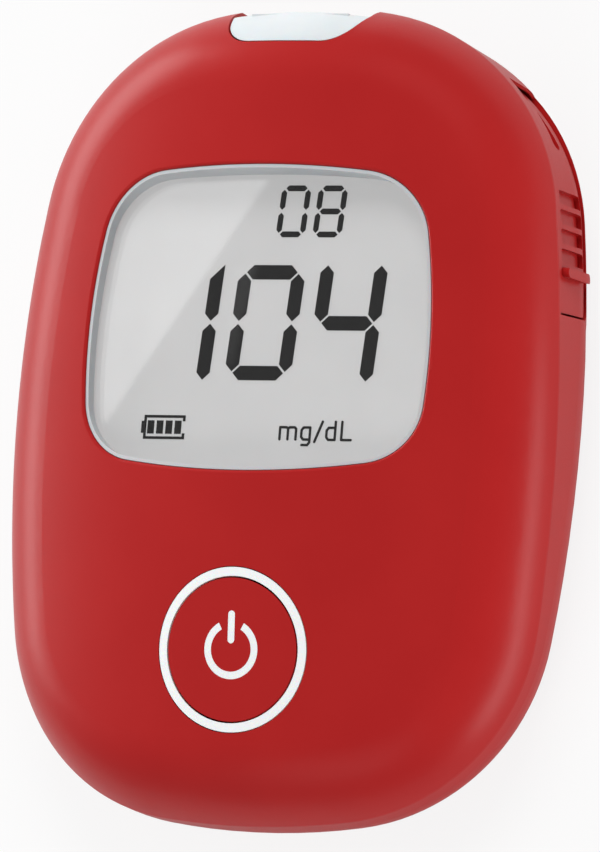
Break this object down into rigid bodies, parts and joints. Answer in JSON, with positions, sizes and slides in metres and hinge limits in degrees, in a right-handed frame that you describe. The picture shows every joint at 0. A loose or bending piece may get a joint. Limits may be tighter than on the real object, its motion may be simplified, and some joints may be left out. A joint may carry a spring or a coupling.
{
  "type": "blood glucose meter",
  "caption": "Hand-held blood glucose meter with a domed shell, segment display, round button, strip port and ribbed strip ejector in its side.",
  "frame": {"origin": "under the middle of the meter's flat back", "axes": "+Y towards the strip port, +Z out of the display, +X to the ejector side"},
  "size_m": [0.0614, 0.0851, 0.023],
  "materials": {
    "housing_red": "soft-touch satin",
    "clear_lens": "polished acrylic",
    "bezel_grey": "satin",
    "lcd_glass": "polished",
    "lcd_black": "matte",
    "reflector": "satin",
    "white_plastic": "satin gloss",
    "white_print": "matte",
    "black_plastic": "matte",
    "conducting_rubber": "matte",
    "board_green": "solder mask",
    "bright_metal": "plated",
    "gold_contact": "plated",
    "cell_jacket": "gloss",
    "label_silver": "satin film"
  },
  "bodies": {
    "case": {"front_shell": "housing_red", "rear_shell": "housing_red", "display_lens": "clear_lens", "display_bezel": "bezel_grey", "lcd_front_glass": "lcd_glass", "lcd_segments": "lcd_black", "lcd_rear_glass": "lcd_glass", "lcd_backlight": "reflector", "lcd_holder": "white_plastic", "contact_strip": "conducting_rubber", "main_board": "board_green", "microcontroller": "black_plastic", "measuring_chip": "black_plastic", "crystal": "bright_metal", "passives": "black_plastic", "buzzer": "black_plastic", "button_ring": "white_print", "button_switch": "bright_metal", "strip_port": "white_plastic", "strip_connector": "black_plastic", "strip_contacts": "gold_contact", "ejector_spring": "bright_metal", "battery_upper": "cell_jacket", "battery_lower": "cell_jacket", "battery_contacts": "bright_metal", "battery_bridge": "bright_metal", "battery_springs": "bright_metal", "case_screws": "bright_metal", "board_screws": "bright_metal", "rating_label": "label_silver"},
    "door": {"battery_door": "housing_red"},
    "button": {"main_button": "housing_red", "button_symbol": "white_print", "switch_plunger": "black_plastic"},
    "ejector": {"ejector_plate": "housing_red", "ejector_lever": "white_plastic"},
    "pusher": {"ejector_pusher": "white_plastic"}
  },
  "joints": [
    {"name": "door_hinge", "type": "hinge", "parent": "case", "child": "door", "pos_m": [0, -0.0102, 0], "axis": [1, 0, 0], "range_deg": [0, 75]},
    {"name": "button_press", "type": "slide", "parent": "case", "child": "button", "axis": [0, 0, -1], "range_m": [0, 0.0004], "stiffness_N_per_m": 3000, "springref_m": -0.0001},
    {"name": "ejector_hinge", "type": "hinge", "parent": "case", "child": "ejector", "pos_m": [0.00569, 0.01875, 0.0075], "axis": [0, 0, 1], "range_deg": [0, 12], "stiffness_Nm_per_rad": 0.1, "springref_deg": -5.73, "deforming": ["ejector_spring"]},
    {"name": "pusher_slide", "type": "slide", "parent": "case", "child": "pusher", "axis": [0, 1, 0], "range_m": [0, 0.003]}
  ],
  "couplings": [
    {"joint": "pusher_slide", "follows": "ejector_hinge", "m_per_rad": 0.013974}
  ]
}
